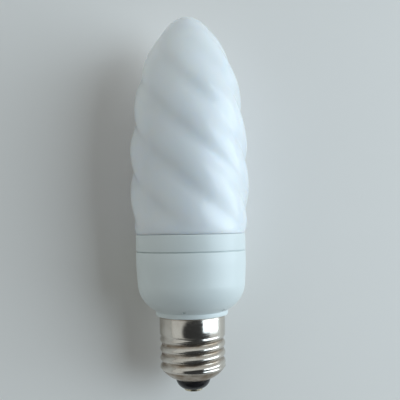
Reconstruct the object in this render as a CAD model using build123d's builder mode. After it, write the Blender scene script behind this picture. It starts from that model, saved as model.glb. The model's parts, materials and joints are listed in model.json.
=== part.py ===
# Candle energy saving bulb with a twisted opal glass cover and an E27 screw cap.
# Every piece is drawn with the lamp's axis upright and z = 0 at the contact, then laid on its side:
# the glass tip towards +Y, the printed side of the housing up, the glass resting on the ground.

import os
from math import atan2, degrees

from build123d import *

os.makedirs("parts", exist_ok=True)

# Screw cap, an E27 thread rolled in sheet metal
thread_crest_d = 26.05
thread_root_d = 24.4
cap_skirt_d = 26.2
thread_pitch = 3.629
thread_turns = 2.6
ridge_width = 3.1
ridge_sink = 0.2
dish_top_r = 12.6
cap_metal = 0.3
cap_top_z = 30.2
thread_top_z = 22.7
lip_r = 7.0
lip_z = 5.5
dish_mid = (11.0, 7.6)

# Insulator and contact
bowl_bottom_r = 4.7
bowl_bottom_z = 1.3
insulator_top_z = 9.0
wire_hole_r = 0.45
contact_r = 4.0
contact_z = 0.6
solder_r = 2.7

# Ballast housing
housing_d = 44.0
housing_wall = 1.6
housing_top_z = 55.5
housing_draft_r = 21.55
corner_z = 43.5
corner_r = 12.5
straight_z = 50.5
rim_r = 14.4
rim_height = 2.0
neck_bottom_z = 23.6
vent_count = 6
vent_d = 1.5
vent_z = 33.1
vent_angle = -100.0

# Tube holder
seam_gap = 0.35
holder_top_z = 62.3
plate_z = 56.5
plate_thickness = 1.5
holder_skirt_wall = 1.3
seam_depth = 0.8
skirt_bottom_z = 52.0
slip = 0.05
tube_clearance = 0.2
snap_z = 53.4
snap_width = 4.8
snap_height = 1.1
snap_reach = 0.35
snap_clearance = 0.25

# Glass cover
lamp_length = 151.2
glass_wall = 1.0
foot_gap = 0.1
neck_d = 40.7
neck_end_z = 59.4
lobes = 6
twist_pitch = 116.0
twist_datum_z = 80.2
# share of the glass's height, crest radius, and depth of the valleys between the lobes
stations = [
    (0.0, 21.9, 0.05),
    (0.0203, 22.4, 0.4),
    (0.0462, 23.0, 1.2),
    (0.0912, 23.45, 1.9),
    (0.1532, 23.8, 2.3),
    (0.232, 24.0, 2.4),
    (0.3097, 24.0, 2.4),
    (0.3896, 23.8, 2.4),
    (0.4628, 23.2, 2.3),
    (0.536, 22.5, 2.1),
    (0.6036, 21.8, 1.9),
    (0.6712, 20.8, 1.7),
    (0.7331, 19.2, 1.5),
    (0.7894, 17.4, 1.2),
    (0.8401, 15.3, 0.9),
    (0.8851, 12.9, 0.6),
    (0.9245, 10.2, 0.35),
    (0.9595, 7.5, 0.15),
    (0.9854, 4.6, 0.05),
    (1.0, 1.2, 0.02),
]
cover_cement_width = 3.2
cover_cement_rise = 1.4

# Discharge tube, three U bends joined in a row
tube_d = 7.4
tube_ring_r = 10.2
tube_bottom_z = 54.6
tube_tip_gap = 24.4
tube_first_angle = -60.0
bridge_r = 1.5
bridge_z = 64.0

# Ballast board and its components
board_r = 18.2
board_thickness = 1.2
board_z = 50.5
lead_r = 0.3
post_width = 0.9
post_ring_r = 16.2
post_angles = (-78.0, -42.0, 192.0, 228.0)
filament_lead_r = 0.25

# Ballast components: body diameter, body length and lead spacing, or length, width, height and lead spacing
diode_size = (2.6, 4.4, 7.0)
resistor_size = (2.2, 3.8, 6.6)
base_resistor_size = (1.9, 3.4, 6.4)
trigger_size = (1.9, 2.6, 4.4)
resonant_size = (3.6, 9.6, 8.6, 7.5)
filter_size = (3.6, 7.6, 7.8, 5.0)
starting_size = (6.2, 3.0, 6.4, 5.0)
stand_off = 0.6
transistor_d = 4.8
transistor_flat = 1.5
transistor_height = 4.8
transistor_stand_off = 2.6
transistor_lead_pitch = 1.27
ring_d = 8.4
ring_bore = 4.6
ring_height = 3.6
ring_place = (10.8, -8.2, 46.0)
winding_wall = 0.45
can_d = 8.0
can_length = 15.5
can_bottom_z = 24.5
can_groove_depth = 0.3
can_groove_width = 0.7
can_lead_pitch = 3.4
can_angle = -105.6
can_gap = 1.96
fuse_d = 3.0
fuse_length = 8.5
fuse_bottom_z = 25.0
fuse_gap = 0.89
neutral_hole = (4.2, -6.2)

# Choke: ferrite core of two E halves, bobbin and coil
choke_gap = 1.6442
core_bottom_z = 36.6
core_height = 12.0
core_width = 13.2
core_depth = 6.0
core_yoke = 1.8
core_middle = 3.2
core_window = 3.4
bobbin_wall = 0.5
bobbin_flange = 0.6
bobbin_width = 9.9
bobbin_depth = 11.6
coil_width = 9.4
coil_depth = 11.0
pin_spacing = (8.8, 9.4)

housing_r = housing_d / 2
holder_skirt_r = housing_r - housing_wall - slip
skirt_outer_r = cap_skirt_d / 2
skirt_inner_r = skirt_outer_r - cap_metal
thread_root_r = thread_root_d / 2
thread_inner_r = thread_root_r - cap_metal
ridge_height = (thread_crest_d - thread_root_d) / 2
dish_inner_mid = (dish_mid[0] - cap_metal * 0.7, dish_mid[1] + cap_metal * 0.7)
thread_bottom_z = thread_top_z - thread_turns * thread_pitch - ridge_width
tube_r = tube_d / 2
tube_bend_z = lamp_length - tube_tip_gap - tube_ring_r / 2 - tube_r
foot_z = holder_top_z + foot_gap
glass_height = lamp_length - foot_z
neck_r = skirt_inner_r - slip
bore_r = neck_r - housing_wall
can_offset = bore_r - can_d / 2 - can_gap
fuse_offset = can_d / 2 + fuse_d / 2 + fuse_gap - can_offset
board_top_z = board_z + board_thickness
rim_z = cap_top_z + rim_height
seam_z = housing_top_z + seam_gap


# The lamp lies on two lobes of the glass, with its cap a little low. Each point is a height and a
# distance from the axis, and the roll brings the lobes where the lamp's centre of mass is lowest
rest_roll = -16.0
rest_near = (68.167, 23.164)
rest_far = (83.0, 23.955)
rest_tilt = degrees(atan2(rest_far[1] - rest_near[1], rest_far[0] - rest_near[0]))
tilted = Rotation(rest_tilt - 90, 0, 0)
low_point = (tilted * Pos(0, rest_near[1], rest_near[0])).position
far_end = (tilted * Pos(0, 0, lamp_length)).position
lying = Pos(0, -far_end.Y / 2, -low_point.Z) * tilted * Rotation(0, 0, rest_roll)


def save(piece, label):
    piece.label = label
    laid = lying * piece
    laid.label = label
    export_step(laid, f"parts/{label}.step")
    print(label, round(piece.volume, 1))


def spot(radius, angle, height=0.0):
    return Vector(radius, 0, height).rotate(Axis.Z, angle)


# Screw cap: the thread is one ridge swept along its helix round a thin tube
with BuildPart() as thread_ridge:
    with BuildLine() as thread_path:
        Helix(
            pitch=thread_pitch,
            height=thread_turns * thread_pitch,
            radius=thread_root_r,
            center=(0, 0, thread_bottom_z + ridge_width / 2),
        )
    ridge_start = thread_path.line @ 0
    ridge_plane = Plane(origin=ridge_start, x_dir=(ridge_start.X, ridge_start.Y, 0), z_dir=thread_path.line % 0)
    with BuildSketch(ridge_plane):
        Polygon(
            (-ridge_sink, -ridge_width / 2),
            (ridge_height * 0.62, -ridge_width * 0.3),
            (ridge_height, -ridge_width * 0.13),
            (ridge_height, ridge_width * 0.13),
            (ridge_height * 0.62, ridge_width * 0.3),
            (-ridge_sink, ridge_width / 2),
            align=None,
        )
    sweep(path=thread_path.line, is_frenet=True)

with BuildPart() as screw_shell:
    with BuildSketch(Plane.XZ):
        with BuildLine():
            ThreePointArc((dish_top_r, thread_bottom_z), dish_mid, (lip_r, lip_z))
            Line((lip_r, lip_z), (0, lip_z))
            Polyline(
                (0, lip_z),
                (0, cap_top_z),
                (skirt_outer_r, cap_top_z),
                (skirt_outer_r, thread_top_z + 0.4),
                (thread_root_r, thread_top_z),
                (thread_root_r, thread_bottom_z + 0.3),
                (dish_top_r, thread_bottom_z),
            )
        make_face()
    revolve(axis=Axis.Z)
    add(thread_ridge.part)
    with BuildSketch(Plane.XZ):
        with BuildLine():
            ThreePointArc((thread_inner_r, thread_bottom_z), dish_inner_mid, (lip_r, lip_z + cap_metal))
            Polyline(
                (lip_r, lip_z + cap_metal),
                (lip_r, lip_z),
                (0, lip_z),
                (0, cap_top_z),
                (skirt_inner_r, cap_top_z),
                (skirt_inner_r, thread_top_z + 0.4),
                (thread_inner_r, thread_top_z),
                (thread_inner_r, thread_bottom_z),
            )
        make_face()
    revolve(axis=Axis.Z, mode=Mode.SUBTRACT)
save(screw_shell.part, "screw_shell")

# Black insulator, pressed into the open end of the cap
with BuildPart() as cap_insulator:
    with BuildSketch(Plane.XZ):
        with BuildLine():
            Line((wire_hole_r, contact_z + 0.7), (bowl_bottom_r - 1.0, bowl_bottom_z))
            ThreePointArc((bowl_bottom_r - 1.0, bowl_bottom_z), (5.9, 2.9), (lip_r, lip_z))
            Line((lip_r, lip_z), (lip_r, lip_z + cap_metal))
            ThreePointArc((lip_r, lip_z + cap_metal), dish_inner_mid, (thread_inner_r, thread_bottom_z))
            Line((thread_inner_r, thread_bottom_z), (wire_hole_r, thread_bottom_z))
            Line((wire_hole_r, thread_bottom_z), (wire_hole_r, contact_z + 0.7))
        make_face()
    revolve(axis=Axis.Z)
    split(bisect_by=Plane.XY.offset(insulator_top_z), keep=Keep.BOTTOM)
save(cap_insulator.part, "cap_insulator")

# Centre contact, a brass disc under the insulator
with BuildPart() as centre_contact:
    with BuildSketch(Plane.XY.offset(contact_z)):
        Circle(bowl_bottom_r - 1.0)
        Circle(wire_hole_r, mode=Mode.SUBTRACT)
    extrude(amount=bowl_bottom_z - contact_z)
    outer_edge = centre_contact.edges().filter_by(GeomType.CIRCLE).group_by(Axis.Z)[0].sort_by(SortBy.LENGTH)[-1]
    fillet(outer_edge, radius=0.4)
save(centre_contact.part, "centre_contact")

with BuildPart() as contact_solder:
    with BuildSketch(Plane.XZ):
        with BuildLine():
            ThreePointArc((0, 0), (solder_r * 0.62, contact_z * 0.3), (solder_r, contact_z))
            Line((solder_r, contact_z), (0, contact_z))
            Line((0, contact_z), (0, 0))
        make_face()
    revolve(axis=Axis.Z)
save(contact_solder.part, "contact_solder")

# Ballast housing: a turned outline with the wall taken off inside, and a neck that the cap is crimped on
with BuildPart() as ballast_housing:
    corner_x = housing_draft_r - corner_r
    with BuildSketch(Plane.XZ):
        with BuildLine():
            foot_drop = (corner_r**2 - (rim_r - corner_x) ** 2) ** 0.5
            bore_drop = ((corner_r - housing_wall) ** 2 - (bore_r - corner_x) ** 2) ** 0.5
            side = corner_r * 0.5**0.5
            inner_side = (corner_r - housing_wall) * 0.5**0.5
            Line((neck_r, neck_bottom_z), (neck_r, cap_top_z))
            Line((neck_r, cap_top_z), (rim_r - 0.3, cap_top_z))
            Line((rim_r - 0.3, cap_top_z), (rim_r, cap_top_z + 0.3))
            Line((rim_r, cap_top_z + 0.3), (rim_r, corner_z - foot_drop))
            ThreePointArc(
                (rim_r, corner_z - foot_drop),
                (corner_x + side, corner_z - side),
                (housing_draft_r, corner_z),
            )
            Line((housing_draft_r, corner_z), (housing_r, straight_z))
            Line((housing_r, straight_z), (housing_r, housing_top_z))
            Line((housing_r, housing_top_z), (housing_r - housing_wall, housing_top_z))
            Line((housing_r - housing_wall, housing_top_z), (housing_r - housing_wall, straight_z))
            Line((housing_r - housing_wall, straight_z), (housing_draft_r - housing_wall, corner_z))
            ThreePointArc(
                (housing_draft_r - housing_wall, corner_z),
                (corner_x + inner_side, corner_z - inner_side),
                (bore_r, corner_z - bore_drop),
            )
            Line((bore_r, corner_z - bore_drop), (bore_r, neck_bottom_z))
            Line((bore_r, neck_bottom_z), (neck_r, neck_bottom_z))
        make_face()
    revolve(axis=Axis.Z)
    # vent holes bored square to the curved wall, from the arc's own centre
    with Locations([
        Plane(origin=spot(corner_x, vent_angle + 360 / vent_count * i, corner_z),
              z_dir=spot(rim_r + 1.2 - corner_x, vent_angle + 360 / vent_count * i, vent_z - corner_z)).location
        for i in range(vent_count)
    ]):
        Cylinder(vent_d / 2, corner_r + 2, align=(Align.CENTER, Align.CENTER, Align.MIN), mode=Mode.SUBTRACT)
    # pockets for the holder's snap lugs
    with PolarLocations(housing_r - housing_wall, 4, start_angle=45):
        with Locations((0, 0, snap_z)):
            Box(
                2 * (snap_reach + snap_clearance),
                snap_width + 2 * snap_clearance,
                snap_height + 2 * snap_clearance,
                mode=Mode.SUBTRACT,
            )
save(ballast_housing.part, "ballast_housing")

# Tube holder: the white band, its plate with six holes, a skirt with snap lugs and posts for the board
with BuildPart() as tube_holder:
    with BuildSketch(Plane.XZ):
        Polygon(
            (0, plate_z),
            (holder_skirt_r - holder_skirt_wall, plate_z),
            (holder_skirt_r - holder_skirt_wall, skirt_bottom_z),
            (holder_skirt_r, skirt_bottom_z),
            (holder_skirt_r, housing_top_z),
            (housing_r - seam_depth, housing_top_z),
            (housing_r - seam_depth, seam_z),
            (housing_r, seam_z),
            (housing_r, holder_top_z),
            (neck_d / 2 + slip, holder_top_z),
            (neck_d / 2 + slip, plate_z + plate_thickness),
            (0, plate_z + plate_thickness),
            align=None,
        )
    revolve(axis=Axis.Z)
    top_rim = tube_holder.edges().filter_by(GeomType.CIRCLE).group_by(Axis.Z)[-1].sort_by(SortBy.LENGTH)[-1]
    fillet(top_rim, radius=0.35)
    with Locations((0, 0, plate_z)):
        with PolarLocations(tube_ring_r, 6, start_angle=tube_first_angle):
            Hole(tube_r + tube_clearance)
    with PolarLocations(holder_skirt_r, 4, start_angle=45):
        with Locations((0, 0, snap_z)):
            Box(2 * snap_reach, snap_width, snap_height)
    with BuildSketch(Plane.XY.offset(board_top_z)):
        with PolarLocations(16.6, 4):
            Rectangle(1.6, 5)
    extrude(until=Until.NEXT)
save(tube_holder.part, "tube_holder")


# Twisted glass: six arcs meet in the valleys, and each section is turned a little further than the last
def lobed_section(share, crest, depth, lowered=0.0):
    height = foot_z + share * glass_height - lowered
    start = -360 * (height - twist_datum_z) / twist_pitch
    step = 360 / lobes
    valley = crest - depth
    with BuildSketch(Plane.XY.offset(height)) as section:
        with BuildLine():
            for i in range(lobes):
                crest_angle = start + step * i
                ThreePointArc(
                    spot(valley, crest_angle - step / 2),
                    spot(crest, crest_angle),
                    spot(valley, crest_angle + step / 2),
                )
        make_face()
    return section.sketch


outer_sections = [lobed_section(share, crest, depth) for share, crest, depth in stations]
# the wall is thicker than its name along the slope, so near the tip the inner sections also sit lower
inner_offset = glass_wall * 1.1
inner_sections = [
    lobed_section(share, crest - inner_offset, depth, inner_offset if crest < 16 else 0)
    for share, crest, depth in stations[1:-2]
]

with BuildPart() as glass_cover:
    loft(outer_sections)
    loft(inner_sections, mode=Mode.SUBTRACT)
    with BuildSketch(Plane.XY.offset(foot_z)):
        Circle(neck_d / 2)
    extrude(amount=neck_end_z - foot_z)
    with BuildSketch(Plane.XY.offset(neck_end_z)):
        Circle(neck_d / 2 - glass_wall)
    extrude(amount=foot_z + stations[1][0] * glass_height - neck_end_z + 0.1, mode=Mode.SUBTRACT)
save(glass_cover.part, "glass_cover")

# Cement bead that holds the glass in the holder
with BuildPart() as cover_cement:
    with BuildSketch(Plane.XZ):
        Polygon(
            (neck_d / 2 - cover_cement_width, plate_z + plate_thickness),
            (neck_d / 2, plate_z + plate_thickness),
            (neck_d / 2, neck_end_z),
            (neck_d / 2 - glass_wall, neck_end_z),
            (neck_d / 2 - glass_wall, neck_end_z + cover_cement_rise),
            align=None,
        )
    revolve(axis=Axis.Z)
save(cover_cement.part, "cover_cement")

# Discharge tube: U bends swept along their own paths, bridges between them and sealed ends
leg_angles = [tube_first_angle + 60 * i for i in range(6)]
with BuildPart() as discharge_tube:
    for first in (0, 2, 4):
        start = spot(tube_ring_r, leg_angles[first], tube_bottom_z)
        end = spot(tube_ring_r, leg_angles[first + 1], tube_bottom_z)
        rise = Vector(0, 0, tube_bend_z - tube_bottom_z)
        top = (start + end) / 2 + rise + Vector(0, 0, tube_ring_r / 2)
        with BuildLine() as bend:
            Line(start, start + rise)
            ThreePointArc(start + rise, top, end + rise)
            Line(end + rise, end)
        with BuildSketch(Plane(origin=start, z_dir=(0, 0, 1))):
            Circle(tube_r)
        sweep(path=bend.line)
    for first in (1, 3):
        start = spot(tube_ring_r, leg_angles[first], bridge_z)
        end = spot(tube_ring_r, leg_angles[first + 1], bridge_z)
        with BuildSketch(Plane(origin=start, z_dir=end - start)):
            Circle(bridge_r)
        extrude(amount=tube_ring_r)
    tube_ends = discharge_tube.edges().filter_by(GeomType.CIRCLE).group_by(Axis.Z)[0]
    fillet(tube_ends, radius=1.6)
save(discharge_tube.part, "discharge_tube")

with BuildPart() as tube_cement:
    with BuildSketch(Plane.XY.offset(plate_z + plate_thickness)):
        Circle(tube_ring_r + tube_r + 2)
        with PolarLocations(tube_ring_r, 6, start_angle=tube_first_angle):
            Circle(tube_r, mode=Mode.SUBTRACT)
    extrude(amount=1.2)
save(tube_cement.part, "tube_cement")

# Ballast components hang under the board. Each entry of leads is a hole in the board too.
leads = []


def lead_wires(points, body_top):
    with BuildPart() as wires:
        with BuildSketch(Plane.XY.offset(board_top_z)):
            with Locations(points):
                Circle(lead_r)
        extrude(amount=body_top - board_top_z)
    leads.extend(points)
    return wires.part


def axial_component(name, centre, along, size):
    x, y = centre
    dx, dy = along
    body_d, body_length, span = size
    axis_z = board_z - body_d / 2
    with BuildPart() as component:
        body_start = Vector(x - dx * body_length / 2, y - dy * body_length / 2, axis_z)
        with BuildSketch(Plane(origin=body_start, z_dir=(dx, dy, 0))):
            Circle(body_d / 2)
        extrude(amount=body_length)
        fillet(component.edges().filter_by(GeomType.CIRCLE), radius=body_d * 0.175)
        first = Vector(x - dx * span / 2, y - dy * span / 2, 0)
        last = Vector(x + dx * span / 2, y + dy * span / 2, 0)
        with BuildLine() as wire:
            FilletPolyline(
                first + Vector(0, 0, board_top_z),
                first + Vector(0, 0, axis_z),
                last + Vector(0, 0, axis_z),
                last + Vector(0, 0, board_top_z),
                radius=0.5,
            )
        with BuildSketch(Plane(origin=first + Vector(0, 0, board_top_z), z_dir=(0, 0, -1))):
            Circle(lead_r)
        sweep(path=wire.line)
    leads.extend([(first.X, first.Y), (last.X, last.Y)])
    save(component.part, name)


def boxed_component(name, centre, size):
    x, y = centre
    length, width, height, pitch = size
    offset_x, offset_y = (pitch / 2, 0) if length > width else (0, pitch / 2)
    wires = lead_wires([(x - offset_x, y - offset_y), (x + offset_x, y + offset_y)], board_z - stand_off - 0.1)
    with BuildPart() as component:
        with BuildSketch(Plane.XY.offset(board_z - stand_off)):
            with Locations((x, y)):
                RectangleRounded(length, width, min(length, width) * 0.35)
        extrude(amount=-height)
        fillet(component.faces().sort_by(Axis.Z)[0].edges(), radius=min(length, width) * 0.25)
        add(wires)
    save(component.part, name)


axial_component("rectifier_diode_1", (6.2, 1.0), (1, 0), diode_size)
axial_component("rectifier_diode_2", (6.2, -2.1), (1, 0), diode_size)
axial_component("rectifier_diode_3", (-5.9, 1.0), (1, 0), diode_size)
axial_component("rectifier_diode_4", (-5.9, -2.1), (1, 0), diode_size)
axial_component("start_resistor_1", (-6.6, -9.4), (0, 1), resistor_size)
axial_component("start_resistor_2", (-3.6, -9.8), (0, 1), resistor_size)
axial_component("base_resistor", (-9.2, -4.7), (1, 0), base_resistor_size)
axial_component("emitter_resistor", (15.6, 0.8), (0, 1), resistor_size)
axial_component("trigger_diode", (12.2, -0.8), (0, 1), trigger_size)
boxed_component("resonant_capacitor", (-11.5, 6.8), resonant_size)
boxed_component("filter_capacitor", (11.4, 6.4), filter_size)
boxed_component("starting_capacitor", (2.0, -12.6), starting_size)

# Smoothing capacitor, a round can that stands down into the housing's neck on long leads
can_place = spot(can_offset, can_angle)
can_top_z = can_bottom_z + can_length
can_leads = [(can_place.X - can_lead_pitch / 2, can_place.Y), (can_place.X + can_lead_pitch / 2, can_place.Y)]
can_wires = lead_wires(can_leads, can_top_z - 0.1)
with BuildPart() as smoothing_capacitor:
    with BuildSketch(Plane.XY.offset(can_bottom_z)):
        with Locations(can_place):
            Circle(can_d / 2)
    extrude(amount=can_length)
    fillet(smoothing_capacitor.edges().filter_by(GeomType.CIRCLE), radius=0.5)
    with BuildSketch(Plane.XY.offset(can_top_z - 2.4)):
        with Locations(can_place):
            Circle(can_d / 2 + 0.2)
            Circle(can_d / 2 - can_groove_depth, mode=Mode.SUBTRACT)
    extrude(amount=can_groove_width, mode=Mode.SUBTRACT)
    add(can_wires)
save(smoothing_capacitor.part, "smoothing_capacitor")

# Two power transistors, flat on one side
for number, (x, y, turn) in enumerate([(-11.6, -9.2, 40), (-14.6, -1.2, 0)], start=1):
    leg_offsets = (-transistor_lead_pitch, 0, transistor_lead_pitch)
    turned_legs = [Vector(x, y) + Vector(0, offset).rotate(Axis.Z, turn) for offset in leg_offsets]
    legs = lead_wires([(leg.X, leg.Y) for leg in turned_legs], board_z - transistor_stand_off - 0.1)
    with BuildPart() as transistor:
        with BuildSketch(Plane.XY.offset(board_z - transistor_stand_off)):
            with Locations(Location((x, y), turn)):
                Circle(transistor_d / 2)
                with Locations((transistor_flat, 0)):
                    Rectangle(transistor_d, transistor_d + 1, align=(Align.MIN, Align.CENTER), mode=Mode.SUBTRACT)
        extrude(amount=-transistor_height)
        add(legs)
    save(transistor.part, f"power_transistor_{number}")

# Drive transformer, a ferrite ring with three windings
ring_x, ring_y, ring_z = ring_place
with BuildPart() as drive_ring:
    with BuildSketch(Plane.XY.offset(ring_z)):
        with Locations((ring_x, ring_y)):
            Circle(ring_d / 2)
            Circle(ring_bore / 2, mode=Mode.SUBTRACT)
    extrude(amount=ring_height)
    chamfer(drive_ring.edges().filter_by(GeomType.CIRCLE), length=0.25)
save(drive_ring.part, "drive_ring")

ring_section = (ring_d - ring_bore) / 2
for number, (angle, spread) in enumerate([(100, 70), (215, 40), (325, 70)], start=1):
    with BuildPart() as drive_winding:
        with BuildSketch(Plane.XZ.rotated((0, 0, angle))):
            with Locations(((ring_d + ring_bore) / 4, ring_height / 2)):
                RectangleRounded(ring_section + 2 * winding_wall, ring_height + 2 * winding_wall, 0.35)
                Rectangle(ring_section, ring_height, mode=Mode.SUBTRACT)
        revolve(axis=Axis.Z, revolution_arc=spread)
    winding = Pos(ring_x, ring_y, ring_z) * drive_winding.part
    save(winding, f"drive_winding_{number}")

# Choke: a bobbin with its coil, and a ferrite core of two E halves around them. The fusible resistor's
# wire passes beside it
fuse_place = spot(fuse_offset, can_angle + 180)
window_x = (core_middle + core_window) / 2
choke_y = fuse_place.Y + lead_r + choke_gap + bobbin_depth / 2
with BuildPart() as choke_core:
    with BuildSketch(Plane.XZ.offset(-choke_y - core_depth / 2)):
        with Locations((0, core_bottom_z + core_height / 2)):
            Rectangle(core_width, core_height)
            with Locations((-window_x, 0), (window_x, 0)):
                Rectangle(core_window, core_height - 2 * core_yoke, mode=Mode.SUBTRACT)
    extrude(amount=core_depth)
save(choke_core.part, "choke_core")

flange_low_z = core_bottom_z + core_yoke
flange_high_z = core_bottom_z + core_height - core_yoke - bobbin_flange
tube_size = (core_middle + 2 * bobbin_wall, core_depth + 2 * bobbin_wall + 0.2)
pin_x, pin_y = pin_spacing
base_pins = lead_wires(
    [(side_x * pin_x / 2, choke_y + side_y * pin_y / 2) for side_x in (-1, 1) for side_y in (-1, 1)],
    board_z - 0.1,
)
with BuildPart() as choke_bobbin:
    with BuildSketch(Plane.XY.offset(flange_low_z)):
        with Locations((0, choke_y)):
            Rectangle(*tube_size)
            Rectangle(core_middle, core_depth, mode=Mode.SUBTRACT)
    extrude(amount=core_height - 2 * core_yoke)
    for height in (flange_low_z, flange_high_z):
        with BuildSketch(Plane.XY.offset(height)):
            with Locations((0, choke_y)):
                Rectangle(bobbin_width, bobbin_depth)
                Rectangle(core_middle, core_depth, mode=Mode.SUBTRACT)
        extrude(amount=bobbin_flange)
    # pin base under the board, tied to the upper flange by two cheeks
    with BuildSketch(Plane.XY.offset(core_bottom_z + core_height)):
        with Locations((0, choke_y)):
            Rectangle(pin_x + 2.2, bobbin_depth)
    extrude(amount=board_z - core_bottom_z - core_height)
    cheek = (bobbin_depth - core_depth) / 2 - 0.4
    with BuildSketch(Plane.XY.offset(flange_high_z)):
        with Locations((0, choke_y - (bobbin_depth - cheek) / 2), (0, choke_y + (bobbin_depth - cheek) / 2)):
            Rectangle(bobbin_width, cheek)
    extrude(amount=core_yoke + bobbin_flange)
    add(base_pins)
save(choke_bobbin.part, "choke_bobbin")

with BuildPart() as choke_coil:
    with BuildSketch(Plane.XY.offset(flange_low_z + bobbin_flange)):
        with Locations((0, choke_y)):
            RectangleRounded(coil_width, coil_depth, 2.2)
            Rectangle(*tube_size, mode=Mode.SUBTRACT)
    extrude(amount=flange_high_z - flange_low_z - bobbin_flange)
save(choke_coil.part, "choke_coil")

# Line side: fusible resistor over the contact, with the wires on both of its ends
fuse_top_z = fuse_bottom_z + fuse_length
upper_wire = lead_wires([(fuse_place.X, fuse_place.Y)], fuse_top_z - 0.1)
with BuildPart() as fusible_resistor:
    with BuildSketch(Plane.XY.offset(fuse_bottom_z)):
        with Locations(fuse_place):
            Circle(fuse_d / 2)
    extrude(amount=fuse_length)
    fillet(fusible_resistor.edges().filter_by(GeomType.CIRCLE), radius=0.5)
    add(upper_wire)
save(fusible_resistor.part, "fusible_resistor")

with BuildPart() as line_lead:
    with BuildLine() as line_route:
        FilletPolyline(
            (0, 0, contact_z),
            (0, 0, fuse_bottom_z - 10),
            (fuse_place.X, fuse_place.Y, fuse_bottom_z - 6),
            (fuse_place.X, fuse_place.Y, fuse_bottom_z),
            radius=3.0,
        )
    with BuildSketch(Plane.XY.offset(contact_z)):
        Circle(wire_hole_r)
    sweep(path=line_route.line)
save(line_lead.part, "line_lead")

# Neutral side: the wire comes down the neck and is pinched between its end and the cap
with BuildPart() as neutral_lead:
    out = Vector(8.0, -6.6).normalized()
    pinch_z = neck_bottom_z - (neck_bottom_z - thread_top_z - cap_metal) / 2
    drop = out * (bore_r - 0.75)
    pinch = out * (skirt_inner_r - 0.2)
    with BuildLine() as neutral_route:
        FilletPolyline(
            (*neutral_hole, board_top_z),
            (*neutral_hole, board_z - 9),
            (drop.X, drop.Y, cap_top_z + 1.8),
            (drop.X, drop.Y, pinch_z),
            (pinch.X, pinch.Y, pinch_z),
            radius=1.2,
        )
    with BuildSketch(Plane(origin=(*neutral_hole, board_top_z), z_dir=(0, 0, -1))):
        Circle(lead_r)
    sweep(path=neutral_route.line)
    leads.append(neutral_hole)
save(neutral_lead.part, "neutral_lead")

# Wire posts stand through the board, and each takes one filament lead beside it
for number, angle in enumerate(post_angles, start=1):
    with BuildPart() as wire_post:
        with BuildSketch(Plane.XY.offset(board_z - stand_off)):
            with Locations(spot(post_ring_r, angle)):
                Rectangle(post_width, post_width)
        extrude(amount=board_thickness + 3.2)
    save(wire_post.part, f"wire_post_{number}")

lead_bend_z = board_top_z + 1.5
beside = degrees((post_width / 2 + filament_lead_r + 0.15) / post_ring_r)
for number, (leg, side) in enumerate([(0, -1), (0, 1), (5, -1), (5, 1)], start=1):
    with BuildPart() as filament_lead:
        start = spot(tube_ring_r, leg_angles[leg], tube_bottom_z) + spot(1.1 * side, leg_angles[leg] + 90)
        beside_post = spot(post_ring_r, post_angles[number - 1] - beside * side, lead_bend_z)
        with BuildLine() as filament_route:
            FilletPolyline(start, Vector(start.X, start.Y, lead_bend_z), beside_post, radius=0.5)
        with BuildSketch(Plane(origin=start, z_dir=(0, 0, -1))):
            Circle(filament_lead_r)
        sweep(path=filament_route.line)
    save(filament_lead.part, f"filament_lead_{number}")

with BuildPart() as ballast_board:
    with BuildSketch(Plane.XY.offset(board_z)):
        Circle(board_r)
        with Locations(leads):
            Circle(lead_r, mode=Mode.SUBTRACT)
        with Locations([spot(post_ring_r, angle) for angle in post_angles]):
            Rectangle(post_width, post_width, mode=Mode.SUBTRACT)
    extrude(amount=board_thickness)
save(ballast_board.part, "ballast_board")
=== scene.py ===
import json
from math import asin, atan2, cos, degrees, pi, radians, sin, sqrt

import bmesh
import bpy
from mathutils import Matrix, Vector, noise


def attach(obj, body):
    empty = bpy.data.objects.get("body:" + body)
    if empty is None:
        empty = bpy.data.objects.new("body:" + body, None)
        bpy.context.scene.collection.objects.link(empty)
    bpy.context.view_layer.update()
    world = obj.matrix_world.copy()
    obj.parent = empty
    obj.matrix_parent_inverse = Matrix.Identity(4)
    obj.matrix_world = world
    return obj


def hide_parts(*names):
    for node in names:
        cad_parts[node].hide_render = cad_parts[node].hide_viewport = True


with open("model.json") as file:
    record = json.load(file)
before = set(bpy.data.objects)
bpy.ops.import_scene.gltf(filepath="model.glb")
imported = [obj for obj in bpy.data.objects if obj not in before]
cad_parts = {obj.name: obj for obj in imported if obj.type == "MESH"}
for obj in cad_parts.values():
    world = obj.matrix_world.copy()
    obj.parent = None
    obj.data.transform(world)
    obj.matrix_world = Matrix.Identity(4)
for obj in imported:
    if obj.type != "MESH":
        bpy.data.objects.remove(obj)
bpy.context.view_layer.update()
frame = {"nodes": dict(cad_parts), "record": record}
mm = 0.001
mergeDistance = 0.0008  # millimetres

# The lamp lies on its side, rolled onto two of its lobes. Its own axis comes from the frame, and its z
# runs from the contact to the glass tip
restRoll = -16.0
endContact = next(mount for mount in frame["record"]["mounts"] if mount["name"] == "end_contact")
lampAxis = -Vector(endContact["axis"]).normalized()
lampRight = Matrix.Rotation(radians(restRoll), 3, lampAxis) @ Vector((1, 0, 0))
lampBack = lampAxis.cross(lampRight)  # away from the viewer, down to the floor
lampToWorld = Matrix.Translation(Vector(endContact["pos_m"])) @ Matrix((
    (lampRight.x, lampBack.x, lampAxis.x, 0),
    (lampRight.y, lampBack.y, lampAxis.y, 0),
    (lampRight.z, lampBack.z, lampAxis.z, 0),
    (0, 0, 0, 1),
)) @ Matrix.Scale(mm, 4)
lampTurn = lampToWorld.to_3x3().normalized().to_euler()


# Mesh helpers: outlines are lists of (radius, height) in millimetres along the lamp's axis

def arcPoints(centreR, centreZ, radius, fromDegrees, toDegrees, count):
    turns = [radians(fromDegrees + (toDegrees - fromDegrees) * i / count) for i in range(count + 1)]
    return [(centreR + radius * cos(turn), centreZ + radius * sin(turn)) for turn in turns]


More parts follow.
